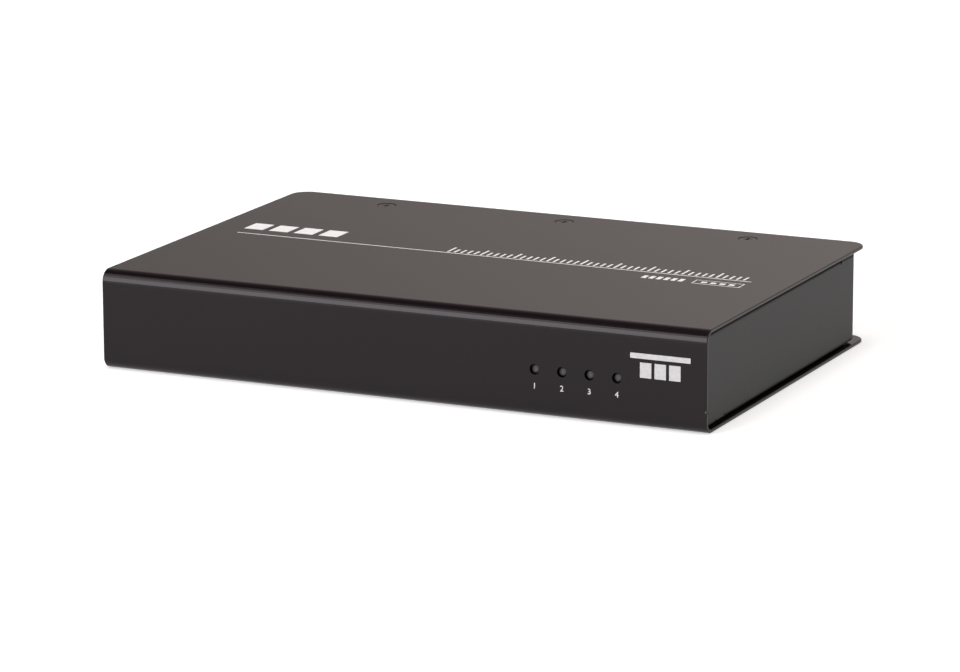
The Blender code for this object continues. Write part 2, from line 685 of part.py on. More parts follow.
def pan_screw(name, axis, centre, seat, length, sides=ROUND_SIDES, recess=True):
    """A round-headed screw whose head bears on a seat and faces up its axis."""
    head, shank, rise = BOARD_SCREW_HEAD, BOARD_SCREW_SHANK, BOARD_SCREW_HEAD_HEIGHT
    rings = []
    if recess:
        rings = [
            (moved_cross(centre, CROSS_TAPER), seat + rise - CROSS_DEPTH),
            (moved_cross(centre), seat + rise),
        ]
    rings += [
        (circle(head * PAN_CROWN, centre, sides), seat + rise),
        (circle(head * PAN_SHOULDER, centre, sides), seat + rise * PAN_SHOULDER),
        (circle(head, centre, sides), seat + rise / 2),
        (circle(head, centre, sides), seat),
        (circle(shank, centre, sides), seat),
        (circle(shank, centre, sides), seat - length + shank / 4),
        (circle(shank / 2, centre, sides), seat - length),
    ]
    add_object(name, loft(axis, rings), "zinc")


def board_and_pillars():
    """The board, its four pillars and its four screws."""
    width = 2 * BOARD_RIGHT
    depth = BOARD_REAR - BOARD_FRONT
    outline = slab((width, depth), (0.0, (BOARD_FRONT + BOARD_REAR) / 2), BOARD_CORNER)
    board = add_object("main_board", prism("Z", outline, BOARD_UNDER, BOARD_TOP), "board_green")
    holes = bmesh.new()
    hole = BOARD_SCREW_SHANK + 2 * FIT
    number = 0
    for y in PILLAR_YS:
        for x in PILLAR_XS:
            number += 1
            centre = (x, y)
            prism("Z", circle(hole, centre, SMALL_SIDES), BOARD_UNDER - FIT, BOARD_TOP + FIT, holes)
            bm = loft("Z", [
                (circle(PILLAR_STUD, centre, SMALL_SIDES), FLOOR_UNDER),
                (circle(PILLAR_STUD, centre, SMALL_SIDES), PILLAR_UNDER),
                (hexagon(PILLAR_ACROSS, centre), PILLAR_UNDER),
                (hexagon(PILLAR_ACROSS, centre), PILLAR_UNDER + PILLAR_HEIGHT),
                (circle(hole, centre, SMALL_SIDES), PILLAR_UNDER + PILLAR_HEIGHT),
                (circle(hole, centre, SMALL_SIDES), SEAT - BOARD_SCREW_LENGTH - FIT),
            ])
            add_object("board_pillar_%d" % number, bm, "brass")
            pan_screw("board_screw_%d" % number, "Z", centre, SEAT, BOARD_SCREW_LENGTH,
                      SMALL_SIDES, recess=False)
    boolean(board, holes, "holes")


def lamp_places():
    """Lamp axes across the front, left to right."""
    last = CASE_WIDTH / 2 - LAMP_EDGE
    return [last - LAMP_PITCH * (LAMP_COUNT - 1 - i) for i in range(LAMP_COUNT)]


def lamps():
    """Four domed lamps and the block that holds them level behind the front."""
    places = lamp_places()
    front = FRONT + COVER_SHEET + HOLDER_FRONT_GAP
    back = front + HOLDER_DEPTH
    low = SEAT
    high = LAMP_HEIGHT + LAMP_DIAMETER / 2 + HOLDER_MARGIN
    left = places[0] - LAMP_DIAMETER / 2 - HOLDER_MARGIN
    right = places[-1] + LAMP_DIAMETER / 2 + HOLDER_MARGIN
    outline = slab((right - left, high - low), ((left + right) / 2, (low + high) / 2))
    holder = add_object("lamp_holder", prism("Y", outline, front, back), "black_plastic")
    bores = bmesh.new()
    dome_steps = 4
    radius = LAMP_DIAMETER / 2
    tip = FRONT + LAMP_RECESS
    collar = back + FIT
    for number, x in enumerate(places, 1):
        centre = (x, LAMP_HEIGHT)
        prism("Y", circle(LAMP_DIAMETER + 2 * FIT, centre), front - FIT, back + FIT, bores)
        rings = []
        for step in range(1, dome_steps + 1):
            angle = math.pi / 2 * step / dome_steps
            rings.append((circle(LAMP_DIAMETER * math.sin(angle), centre),
                          tip + radius * (1 - math.cos(angle))))
        rings += [
            (circle(LAMP_DIAMETER, centre), collar),
            (circle(LAMP_COLLAR, centre), collar),
            (circle(LAMP_COLLAR, centre), collar + LAMP_COLLAR_LENGTH),
        ]
        add_object("indicator_lamp_%d" % number, loft("Y", rings), "lamp_resin")
    boolean(holder, bores, "bores")


def plain_socket_place(name, size):
    """Centre of a socket's body, and where its face and back are."""
    centre = (socket_row()[name], SEAT + size[1] / 2)
    face = PANEL_FACE + SOCKET_PROUD
    return centre, face, face - size[2]


def power_jack():
    """A round bore with a pin at its middle."""
    centre, face, back = plain_socket_place("power", POWER_SIZE)
    floor = face - POWER_BORE_DEPTH
    steps = ROUND_SIDES // 4 - 1
    body = slab(POWER_SIZE, centre, steps=steps)
    bm = loft("Y", [
        (body, back),
        (body, face),
        (circle(POWER_BORE, centre), face),
        (circle(POWER_BORE, centre), floor),
        (circle(POWER_PIN, centre), floor),
        (circle(POWER_PIN, centre), face - POWER_PIN_SHORT),
    ])
    add_object("power_jack", bm, "black_plastic")


def network_socket():
    """A shielded socket with a mouth, a latch slot and a bar of eight contacts."""
    centre, face, back = plain_socket_place("network", NETWORK_SIZE)
    mouth_centre = (centre[0], centre[1] + NETWORK_MOUTH_RISE)
    floor = face - NETWORK_MOUTH_DEPTH
    body = slab(NETWORK_SIZE, centre)
    mouth = slab(NETWORK_MOUTH, mouth_centre)
    bm = loft("Y", [(body, back), (body, face), (mouth, face), (mouth, floor)])
    socket = add_object("network_socket", bm, "nickel")
    latch_top = mouth_centre[1] - NETWORK_MOUTH[1] / 2
    latch = bmesh.new()
    prism("Y", slab((NETWORK_LATCH[0], 2 * NETWORK_LATCH[1]), (centre[0], latch_top)),
          face - NETWORK_LATCH_DEPTH, face + FIT, latch)
    boolean(socket, latch, "latch_slot")

    top = mouth_centre[1] + NETWORK_MOUTH[1] / 2 - FIT
    bar_height = NETWORK_MOUTH[1] - 2 * FIT
    bar_centre = (centre[0], top - bar_height / 2)
    half = NETWORK_MOUTH[0] / 2 - FIT
    bar_front = floor + FIT + CONTACT_BAR
    bar = add_object("network_socket_contacts",
                     prism("Y", slab((2 * half, bar_height), bar_centre), floor + FIT, bar_front),
                     "brass")
    fingers = bmesh.new()
    for i in range(CONTACT_COUNT):
        x = centre[0] + (i - (CONTACT_COUNT - 1) / 2) * CONTACT_PITCH
        side = CONTACT_WIDTH / 2
        outline = [
            (bar_front - CONTACT_BAR / 2, top - CONTACT_HEIGHT),
            (bar_front - CONTACT_BAR / 2, top - 2 * CONTACT_HEIGHT),
            (bar_front, top - 3 * CONTACT_HEIGHT),
            (bar_front + CONTACT_LENGTH, top - CONTACT_HEIGHT),
            (bar_front + CONTACT_LENGTH, top - CONTACT_HEIGHT / 2),
        ]
        prism("X", outline, x - side, x + side, fingers)
    boolean(bar, fingers, "fingers", "UNION")


def square_data_socket():
    """A squarish socket with two cut corners and a tongue in its mouth."""
    centre, face, back = plain_socket_place("square", SQUARE_SIZE)
    floor = face - SQUARE_MOUTH_DEPTH
    body = slab(SQUARE_SIZE, centre)
    mouth = slab(SQUARE_MOUTH, centre, top_corner=SQUARE_MOUTH_CUT)
    bm = loft("Y", [(body, back), (body, face), (mouth, face), (mouth, floor)])
    add_object("square_data_socket", bm, "nickel")
    base = slab(grown(SQUARE_MOUTH, -FIT), centre, top_corner=SQUARE_MOUTH_CUT)
    tongue = slab(SQUARE_TONGUE, centre)
    shoulder = floor + FIT + SQUARE_BASE_LENGTH
    bm = loft("Y", [
        (base, floor + FIT),
        (base, shoulder),
        (tongue, shoulder),
        (tongue, face - SOCKET_PROUD),
    ])
    add_object("square_data_tongue", bm, "white_plastic")


def flanged_socket(name, place, flange, body_size, collar, slant, corner):
    """A metal socket held by its flange behind the panel, with its collar through it."""
    centre = (place, SEAT + flange[1] / 2)
    flange_rear = PANEL_BACK - FIT
    flange_front = flange_rear - FLANGE_THICKNESS
    back = flange_front - body_size[2]
    end = PANEL_FACE + COLLAR_REACH
    bore = slab(grown(collar, -COLLAR_WALL), centre, corner - COLLAR_WALL, slant)
    body = slab(body_size, centre)
    plate = slab(flange, centre)
    shell = slab(collar, centre, corner, slant)
    bm = loft("Y", [
        (body, back),
        (body, flange_front),
        (plate, flange_front),
        (plate, flange_rear),
        (shell, flange_rear),
        (shell, end),
        (bore, end),
        (bore, flange_front),
    ])
    socket = add_object(name, bm, "nickel")
    holes = bmesh.new()
    for x in jackscrew_places(place, flange):
        prism("Y", circle(JACKSCREW_SHANK + 2 * FIT, (x, centre[1])),
              flange_front - FIT, flange_rear + FIT, holes)
    boolean(socket, holes, "jackscrew_holes")
    return centre, flange_front, end


def jackscrews(name, place, flange, height):
    """Hexagonal posts that a plug's thumbscrews turn into."""
    seat = PANEL_FACE + FIT
    tip = PANEL_BACK - FIT - FLANGE_THICKNESS - JACKSCREW_SHANK_PAST
    head = seat + JACKSCREW_HEX
    for number, x in enumerate(jackscrew_places(place, flange), 1):
        centre = (x, height)
        shank = circle(JACKSCREW_SHANK, centre, SMALL_SIDES)
        post = hexagon(JACKSCREW_ACROSS, centre)
        bore = circle(JACKSCREW_BORE, centre, SMALL_SIDES)
        bm = loft("Y", [
            (shank, tip),
            (shank, seat),
            (post, seat),
            (post, head),
            (bore, head),
            (bore, head - JACKSCREW_BORE_DEPTH),
        ])
        add_object("%s_jackscrew_%d" % (name, number), bm, "nickel")


def video_socket():
    """The wide video socket: three rows of slots and one long blade slot."""
    place = socket_row()["video"]
    centre, floor, end = flanged_socket("video_socket", place, VIDEO_FLANGE, VIDEO_BODY,
                                        VIDEO_COLLAR, VIDEO_COLLAR_SLANT, VIDEO_COLLAR_CORNER)
    jackscrews("video", place, VIDEO_FLANGE, centre[1])
    inset = COLLAR_WALL + FIT
    outline = slab(grown(VIDEO_COLLAR, -inset), centre, VIDEO_COLLAR_CORNER - inset,
                   VIDEO_COLLAR_SLANT)
    face = end - VIDEO_INSERT_SINK
    insert = add_object("video_socket_insert", prism("Y", outline, floor + FIT, face),
                        "white_plastic")
    slots = bmesh.new()
    low, high = face - VIDEO_SLOT_DEPTH, face + FIT
    field = VIDEO_SLOT_PITCH * (VIDEO_SLOT_COLUMNS - 1)
    first = place - (field + VIDEO_BLADE_GAP) / 2
    for row in range(VIDEO_SLOT_ROWS):
        z = centre[1] + (row - (VIDEO_SLOT_ROWS - 1) / 2) * VIDEO_SLOT_PITCH
        for column in range(VIDEO_SLOT_COLUMNS):
            x = first + column * VIDEO_SLOT_PITCH
            square = slab((VIDEO_SLOT_SIZE, VIDEO_SLOT_SIZE), (x, z), 0.0)
            prism("Y", square, low, high, slots)
    blade = slab((VIDEO_SLOT_SIZE, VIDEO_BLADE), (first + field + VIDEO_BLADE_GAP, centre[1]), 0.0)
    prism("Y", blade, low, high, slots)
    boolean(insert, slots, "slots")


def serial_socket():
    """The nine-pin socket, pins outwards."""
    place = socket_row()["serial"]
    centre, floor, end = flanged_socket("serial_socket", place, SERIAL_FLANGE, SERIAL_BODY,
                                        SERIAL_COLLAR, SERIAL_COLLAR_SLANT, SERIAL_COLLAR_CORNER)
    jackscrews("serial", place, SERIAL_FLANGE, centre[1])
    inset = COLLAR_WALL + FIT
    outline = slab(grown(SERIAL_COLLAR, -inset), centre, SERIAL_COLLAR_CORNER - inset,
                   SERIAL_COLLAR_SLANT)
    face = floor + FIT + SERIAL_INSERT_HEIGHT
    insert = add_object("serial_socket_insert", prism("Y", outline, floor + FIT, face),
                        "black_plastic")
    pins = bmesh.new()
    for row, count in enumerate(SERIAL_ROWS):
        z = centre[1] + (0.5 - row) * SERIAL_ROW_PITCH
        for i in range(count):
            x = place + (i - (count - 1) / 2) * SERIAL_PIN_PITCH
            round_pin = circle(SERIAL_PIN, (x, z), PIN_SIDES)
            blunt_pin = circle(SERIAL_PIN / 2, (x, z), PIN_SIDES)
            loft("Y", [
                (round_pin, face - SERIAL_INSERT_HEIGHT / 2),
                (round_pin, face + SERIAL_PIN_LENGTH - SERIAL_PIN / 2),
                (blunt_pin, face + SERIAL_PIN_LENGTH),
            ], pins)
    boolean(insert, pins, "pins", "UNION")


def audio_jacks():
    """Sound in and out: a block with a round collar through the panel."""
    steps = ROUND_SIDES // 4 - 1
    for number in range(1, AUDIO_COUNT + 1):
        place = socket_row()["audio_%d" % number]
        centre = (place, SEAT + AUDIO_SIZE[1] / 2)
        front = PANEL_BACK - FIT
        end = PANEL_FACE + AUDIO_COLLAR_REACH
        body = slab(AUDIO_SIZE, centre, steps=steps)
        bm = loft("Y", [
            (body, front - AUDIO_SIZE[2]),
            (body, front),
            (circle(AUDIO_COLLAR, centre), front),
            (circle(AUDIO_COLLAR, centre), end),
            (circle(AUDIO_BORE, centre), end),
            (circle(AUDIO_BORE, centre), end - AUDIO_BORE_DEPTH),
        ])
        add_object("audio_jack_%d" % number, bm, "black_plastic")


def ground_screw():
    """The earth screw and its washer on the rear panel."""
    centre = (socket_row()["ground"], GROUND_HEIGHT)
    low = PANEL_FACE + FIT
    high = low + GROUND_WASHER_THICKNESS
    hole = circle(BOARD_SCREW_SHANK + 2 * FIT, centre)
    rim = circle(GROUND_WASHER, centre)
    bm = bmesh.new()
    loops = [[bm.verts.new(point_across("Y", u, v, y)) for u, v in outline]
             for outline, y in ((hole, low), (rim, low), (rim, high), (hole, high))]
    for near, far in zip(loops, loops[1:] + loops[:1]):
        for i in range(len(near)):
            j = (i + 1) % len(near)
            bm.faces.new((near[i], far[i], far[j], near[j]))
    add_object("ground_washer", bm, "nickel")
    pan_screw("ground_screw", "Y", centre, high + FIT, GROUND_SCREW_LENGTH)


def block(name, size, centre, finish, corner=SOCKET_CORNER, base=SEAT):
    """A soldered part with softened corners."""
    bm = prism("Z", slab(size, centre, corner), base, base + size[2])
    add_object(name, bm, finish)


def heat_sink(centre, base):
    """A finned sink on the link chip, drawn as one comb and extruded."""
    half_x, half_y = SINK_SIZE[0] / 2, SINK_SIZE[1] / 2
    pitch = (SINK_SIZE[0] - SINK_FIN_THICKNESS) / (SINK_FINS - 1)
    shoulder, top = base + SINK_BASE, base + SINK_BASE + SINK_FIN_HEIGHT
    comb = []
    for i in reversed(range(SINK_FINS)):
        left = centre[0] - half_x + i * pitch
        right = left + SINK_FIN_THICKNESS
        comb += [(right, shoulder), (right, top), (left, top), (left, shoulder)]
    outline = [(centre[0] - half_x, base), (centre[0] + half_x, base)] + comb[1:-1]
    bm = prism("Y", outline, centre[1] - half_y, centre[1] + half_y)
    add_object("heat_sink", bm, "dark_aluminium")


def board_parts():
    """What the board carries: chips, the sink, the transformer and the power parts."""
    row = socket_row()
    chip = (row["square"], BOARD_REAR - LINK_CHIP_REAR)
    block("link_chip", LINK_CHIP, chip, "black_plastic")
    heat_sink(chip, SEAT + LINK_CHIP[2] + FIT)

    video_chip = (row["video"] - VIDEO_CHIP[0] / 2, chip[1])
    block("video_chip", VIDEO_CHIP, video_chip, "black_plastic")
    memory_x = video_chip[0] - VIDEO_CHIP[0] / 2 - CHIP_GAP - MEMORY_CHIP[0] / 2
    for number, side in enumerate((-1, 1), 1):
        centre = (memory_x, chip[1] + side * (MEMORY_CHIP[1] + CHIP_GAP) / 2)
        block("memory_chip_%d" % number, MEMORY_CHIP, centre, "black_plastic")
    crystal_x = memory_x - MEMORY_CHIP[0] / 2 - CHIP_GAP - CRYSTAL[0] / 2
    block("clock_crystal", CRYSTAL, (crystal_x, chip[1]), "can_aluminium", CRYSTAL[1] / 2 - FIT)

    network_back = PANEL_FACE + SOCKET_PROUD - NETWORK_SIZE[2]
    transformer_y = network_back - TRANSFORMER_GAP - TRANSFORMER[1] / 2
    block("isolation_transformer", TRANSFORMER, (row["network"], transformer_y), "black_plastic")

    power_back = PANEL_FACE + SOCKET_PROUD - POWER_SIZE[2]
    inductor_y = power_back - POWER_PARTS_GAP - INDUCTOR[1] / 2
    block("power_inductor", INDUCTOR, (row["power"], inductor_y), "ferrite", INDUCTOR_CORNER)
    first = inductor_y - INDUCTOR[1] / 2 - CAPACITOR_PITCH / 2
    for number in range(1, CAPACITOR_COUNT + 1):
        centre = (row["power"], first - (number - 0.5) * CAPACITOR_PITCH)
        top = SEAT + CAPACITOR_HEIGHT
        can = circle(CAPACITOR_DIAMETER, centre, SMALL_SIDES)
        waist = circle(CAPACITOR_DIAMETER - 2 * CAPACITOR_NECK, centre, SMALL_SIDES)
        bm = loft("Z", [
            (can, SEAT),
            (can, SEAT + CAPACITOR_CRIMP - CAPACITOR_NECK),
            (waist, SEAT + CAPACITOR_CRIMP),
            (can, SEAT + CAPACITOR_CRIMP + CAPACITOR_NECK),
            (can, top - CAPACITOR_NECK),
            (waist, top),
        ])
        add_object("smoothing_capacitor_%d" % number, bm, "can_aluminium")


def main():
    """Build the extender, outside first."""
    clear_scene()
    wrap_cover()
    tray()
    rear_panel()
    cover_screws()
    board_and_pillars()
    lamps()
    ground_screw()
    power_jack()
    network_socket()
    square_data_socket()
    video_socket()
    serial_socket()
    audio_jacks()
    board_parts()


main()
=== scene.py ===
# %% [markdown]
# # A network extender box of painted sheet steel
# The object is a low box of two folded sheets: a cover that wraps the top, the front and the bottom,
# and a tray that makes both side walls. Four small lamps sit in the front, and the sockets are at
# the back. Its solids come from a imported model, and this lesson dresses them: every surface gets its
# own finish, and the white print is laid on the paint as thin films of ink.

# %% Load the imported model
import json
import math

import bmesh
import bpy
from mathutils import Euler, Matrix, Vector


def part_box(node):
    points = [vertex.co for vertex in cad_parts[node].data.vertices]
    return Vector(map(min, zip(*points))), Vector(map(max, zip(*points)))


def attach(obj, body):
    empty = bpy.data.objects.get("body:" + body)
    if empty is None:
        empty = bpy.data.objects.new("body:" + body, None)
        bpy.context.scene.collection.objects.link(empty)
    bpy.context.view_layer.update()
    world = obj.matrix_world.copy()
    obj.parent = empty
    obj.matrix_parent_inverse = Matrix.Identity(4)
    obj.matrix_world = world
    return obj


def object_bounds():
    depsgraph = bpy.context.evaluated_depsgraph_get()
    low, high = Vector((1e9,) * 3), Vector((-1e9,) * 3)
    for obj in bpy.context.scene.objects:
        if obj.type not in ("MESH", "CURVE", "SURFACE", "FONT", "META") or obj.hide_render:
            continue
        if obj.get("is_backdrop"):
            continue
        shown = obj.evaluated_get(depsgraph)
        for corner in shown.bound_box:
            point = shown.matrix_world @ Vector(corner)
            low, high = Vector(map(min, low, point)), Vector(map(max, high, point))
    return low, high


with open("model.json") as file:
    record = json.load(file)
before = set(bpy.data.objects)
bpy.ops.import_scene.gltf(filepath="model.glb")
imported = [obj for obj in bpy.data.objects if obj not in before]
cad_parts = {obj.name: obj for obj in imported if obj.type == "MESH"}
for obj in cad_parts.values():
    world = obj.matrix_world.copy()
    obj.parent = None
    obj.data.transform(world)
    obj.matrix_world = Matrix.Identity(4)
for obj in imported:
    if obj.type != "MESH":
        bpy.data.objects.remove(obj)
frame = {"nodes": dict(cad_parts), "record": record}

NODES = frame["nodes"]
SLOT_OF = {part["node"]: part["material_slot"] for part in frame["record"]["subparts"]}
SIZE = {"cad": [list(corner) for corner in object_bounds()]}
FRONT = SIZE["cad"][0][1]
RIGHT, _, TOP = SIZE["cad"][1]
print(len(NODES), "nodes, box", SIZE["cad"])

# %% [markdown]
# ## The camera
# The picture was taken from the right of the front with a long lens, so that parallel edges hardly
# close in. The place, the two angles and the slight roll were fitted to the corners of the box.
# A lens is given in millimetres on a sensor 36 mm wide.

# %% Place the camera
CAMERA_PLACE = Vector((0.61016, -1.31854, 0.35076))
CAMERA_TURN = math.radians(24.954)
CAMERA_DIP = math.radians(13.361)
CAMERA_ROLL = math.radians(-0.165)
CAMERA_LENS = 180.18
CAMERA_SENSOR = 36.0
CAMERA_NEAR = 0.05
CAMERA_FAR = 60.0

camera_data = bpy.data.cameras.new("camera")
camera_data.lens = CAMERA_LENS
camera_data.sensor_width = CAMERA_SENSOR
camera_data.clip_start = CAMERA_NEAR
camera_data.clip_end = CAMERA_FAR
camera = bpy.data.objects.new("camera", camera_data)
bpy.context.scene.collection.objects.link(camera)
aim = Euler((math.pi / 2 - CAMERA_DIP, 0.0, CAMERA_TURN)).to_matrix()
rolled = aim @ Matrix.Rotation(CAMERA_ROLL, 3, "Z")
camera.matrix_world = Matrix.Translation(CAMERA_PLACE) @ rolled.to_4x4()
bpy.context.scene.camera = camera
bpy.context.scene.view_settings.view_transform = "Standard"
print("camera at", tuple(round(value, 3) for value in CAMERA_PLACE))

# %% [markdown]
# ## Helpers for node materials
# A finish is a Principled shader with a few nodes before it. Small helpers keep the cells short:
# one makes an empty material with its shader, one adds a node and fills its sockets by name, one
# links two nodes, and one runs a value through arithmetic. `ranged` turns a place into an amount.
# What is the same all over a surface is set on the shader itself.

# %% Start a material and add nodes to it
def add_node(material, kind, **values):
    """A node of that kind, with its properties or sockets set by name."""
    node = material.node_tree.nodes.new(kind)
    for name, value in values.items():
        socket = name.replace("_", " ")
        if hasattr(node, name):
            setattr(node, name, value)
        else:
            found = [s for s in node.inputs if s.name.lower() == socket.lower() and s.enabled]
            found[0].default_value = value
    return node


def start_material(name, colour, roughness, metallic=0.0, specular=0.5):
    """A material with one Principled shader, and the shader."""
    material = bpy.data.materials.new(name)
    material.use_nodes = True
    material.diffuse_color = (*colour, 1.0)
    shader = material.node_tree.nodes["Principled BSDF"]
    shader.inputs["Base Color"].default_value = (*colour, 1.0)
    shader.inputs["Roughness"].default_value = roughness
    shader.inputs["Metallic"].default_value = metallic
    shader.inputs["Specular IOR Level"].default_value = specular
    return material, shader


def join(material, source, output, target, socket):
    """Links an output of one node to a socket of another."""
    material.node_tree.links.new(source.outputs[output], target.inputs[socket])


def calculated(material, source, output, *steps):
    """Runs a value through math nodes, each given as an operation and its number."""
    for operation, number in steps:
        node = add_node(material, "ShaderNodeMath", operation=operation)
        node.inputs[1].default_value = number
        join(material, source, output, node, 0)
        source, output = node, "Value"
    return source


def coordinate(material):
    """A node that gives the three object coordinates apart."""
    place = add_node(material, "ShaderNodeTexCoord")
    parts = add_node(material, "ShaderNodeSeparateXYZ")
    join(material, place, "Object", parts, "Vector")
    return parts


def ranged(tree, source, first, last):
    """A value that goes from one amount to another between two places."""
    node = tree.nodes.new("ShaderNodeMapRange")
    for (place, amount), end in ((first, "Min"), (last, "Max")):
        node.inputs["From " + end].default_value = place
        node.inputs["To " + end].default_value = amount
    tree.links.new(source, node.inputs["Value"])
    return node.outputs["Result"]


print("helpers ready")

# %% [markdown]
# ## Grain that belongs to the object
# Paint, plastic and metal are never one even tone. Their grain is noise read at Object coordinates,
# in metres, so it stays where it is when the camera moves. `grain` gives the noise, and the three
# helpers after it let the noise drive the colour, the roughness and the bump.

# %% Noise and what it drives
NOISE_LOW = 0.3                 # most of the noise lies between these two
NOISE_HIGH = 0.7


def grain(material, scale, detail=2.0, stretch=(1.0, 1.0, 1.0)):
    """Noise at object coordinates; scale counts its lumps per metre."""
    place = add_node(material, "ShaderNodeTexCoord")
    mapping = add_node(material, "ShaderNodeMapping", scale=stretch)
    noise = add_node(material, "ShaderNodeTexNoise", scale=scale, detail=detail)
    join(material, place, "Object", mapping, "Vector")
    join(material, mapping, "Vector", noise, "Vector")
    return noise


def spread(material, source, low, high, output="Fac"):
    """Stretches a node's middle values over a new range."""
    return ranged(material.node_tree, source.outputs[output], (NOISE_LOW, low), (NOISE_HIGH, high))


def blend_tones(material, shader, amount, dark, light):
    """Blends the base colour between two tones by an amount."""
    mix = add_node(material, "ShaderNodeMix", data_type="RGBA")
    mix.inputs["A"].default_value = (*dark, 1.0)
    mix.inputs["B"].default_value = (*light, 1.0)
    material.node_tree.links.new(amount, mix.inputs["Factor"])
    join(material, mix, "Result", shader, "Base Color")


def tint(material, shader, source, dark, light, output="Fac"):
    """Lets a node blend the base colour between two tones."""
    blend_tones(material, shader, spread(material, source, 0.0, 1.0, output), dark, light)


def roughen(material, shader, source, low, high):
    """Lets noise move the roughness between two values."""
    amount = spread(material, source, low, high)
    material.node_tree.links.new(amount, shader.inputs["Roughness"])


def dent(material, shader, source, depth, strength=1.0, output="Fac"):
    """Lets a node raise and lower the surface, by a depth in metres."""
    bump = add_node(material, "ShaderNodeBump", strength=strength, distance=depth)
    join(material, source, output, bump, "Height")
    join(material, bump, "Normal", shader, "Normal")
    return bump


print("grain helpers ready")

# %% [markdown]
# Some places have a finish of their own within one coat of paint: a sheared edge is rougher, and a
# deep crease stays dull. `beyond` marks them by their distance from a middle along one axis, or what
# lies nearer than that, and `roughen_there` sets another roughness on what is marked.

# %% Marks by place
def beyond(material, axis, middle, reach, test="GREATER_THAN"):
    """A value of 1 where the object's coordinate lies further than a reach from a middle."""
    steps = (("SUBTRACT", middle), ("ABSOLUTE", 0.0), (test, reach))
    return calculated(material, coordinate(material), axis, *steps)


def roughen_there(material, mark, roughness):
    """Sets one roughness where a mark is 1, and keeps the grain's where it is 0."""
    shader = material.node_tree.nodes["Principled BSDF"]
    mix = add_node(material, "ShaderNodeMix", data_type="FLOAT")
    before = shader.inputs["Roughness"].links[0].from_socket
    material.node_tree.links.new(before, mix.inputs["A"])
    mix.inputs["B"].default_value = roughness
    join(material, mark, "Value", mix, "Factor")
    join(material, mix, "Result", shader, "Roughness")


print("marks ready")

# %% [markdown]
# ## Satin powder paint
# Both sheets are sprayed near black. What we see on them is mostly the room mirrored in a satin film:
# bright where the view grazes the top, and dark on the front. So the base colour is very low, and
# the film's gloss does the rest. Under a lens the film has an orange peel and a fine sand.

# %% Paint for the cover and the tray
PAINT_PEEL = 1500.0
PAINT_SAND = 5200.0
PAINT_CLOUD = 14.0
PAINT_PEEL_DEPTH = 0.000004
PAINT_SAND_DEPTH = 0.0000015
PAINT_SMOOTHER = 0.03           # how far the sand moves the roughness down
PAINT_ROUGHER = 0.05            # and up

finishes = {}


def satin_paint(name, dark, light, roughness, gloss):
    """Near-black satin film with orange peel and sand."""
    material, shader = start_material(name, light, roughness, specular=gloss)
    cloud = grain(material, PAINT_CLOUD, detail=3.0)
    tint(material, shader, cloud, dark, light)
    sand = grain(material, PAINT_SAND)
    roughen(material, shader, sand, roughness - PAINT_SMOOTHER, roughness + PAINT_ROUGHER)
    peel = grain(material, PAINT_PEEL)
    coarse = dent(material, shader, peel, PAINT_PEEL_DEPTH)
    fine = add_node(material, "ShaderNodeBump", strength=1.0, distance=PAINT_SAND_DEPTH)
    join(material, sand, "Fac", fine, "Height")
    join(material, fine, "Normal", coarse, "Normal")
    finishes[name] = material


COVER_DARK = (0.0062, 0.0036, 0.0048)
COVER_LIGHT = (0.0068, 0.0040, 0.0054)
TRAY_DARK = (0.0045, 0.0046, 0.0044)
TRAY_LIGHT = (0.0058, 0.0058, 0.0056)
SCREW_DARK = (0.0070, 0.0068, 0.0064)
SCREW_LIGHT = (0.0130, 0.0125, 0.0120)

satin_paint("cover_paint", COVER_DARK, COVER_LIGHT, roughness=0.16, gloss=0.228)
satin_paint("tray_paint", TRAY_DARK, TRAY_LIGHT, roughness=0.45, gloss=0.20)
satin_paint("screw_black", SCREW_DARK, SCREW_LIGHT, roughness=0.24, gloss=0.36)
print("paints:", sorted(finishes))

# %% [markdown]
# The cover's side edges were sheared, so the paint on them is rough. The walls' upper folds lie in a
# narrow crease under the cover's overhang, where the spray hardly reached. The driver recess of a
# screw is rough and black inside.

# %% Rougher edges and creases
EDGE_ROUGH = 0.34
EDGE_DEEP = 0.0003              # how far in from the sides a cut edge counts
CREASE_ROUGH = 0.70
CREASE_DEEP = 0.0024            # in from the top and the bottom of the cover
RECESS_ROUGH = 0.95
RECESS_DEEP = 0.0002            # a recess starts this far in

MIDDLE = TOP / 2
cover, tray, screw = (finishes[name] for name in ("cover_paint", "tray_paint", "screw_black"))
roughen_there(cover, beyond(cover, "X", 0.0, RIGHT - EDGE_DEEP), EDGE_ROUGH)
roughen_there(tray, beyond(tray, "Z", MIDDLE, MIDDLE - CREASE_DEEP), CREASE_ROUGH)
roughen_there(screw, beyond(screw, "Z", MIDDLE, MIDDLE - RECESS_DEEP, "LESS_THAN"), RECESS_ROUGH)
print("cut edges from x =", round(RIGHT - EDGE_DEEP, 4))
print("creases from z =", round(TOP - CREASE_DEEP, 4))

# %% [markdown]
# ## Metals
# Steel parts are plated or blackened and turned or pressed, so each has its own fine scratches.
# A stretch in the Mapping node draws noise out into lines along one axis.

# %% Plated, blackened and machined metal
METAL_LINES = 900.0
METAL_CLOUD = 120.0
METAL_LINE_DEPTH = 0.000004
METAL_SHINIER = 0.8             # share of the roughness in the low places of a line
METAL_DULLER = 1.25             # and in the high ones


def metal(name, dark, light, roughness, stretch=(1.0, 1.0, 1.0), metallic=1.0):
    """A metal whose tone and gloss wander a little, with hair lines."""
    material, shader = start_material(name, light, roughness, metallic)
    lines = grain(material, METAL_LINES, detail=4.0, stretch=stretch)
    tint(material, shader, grain(material, METAL_CLOUD, detail=3.0), dark, light)
    roughen(material, shader, lines, roughness * METAL_SHINIER, roughness * METAL_DULLER)
    dent(material, shader, lines, METAL_LINE_DEPTH, strength=0.6)
    finishes[name] = material


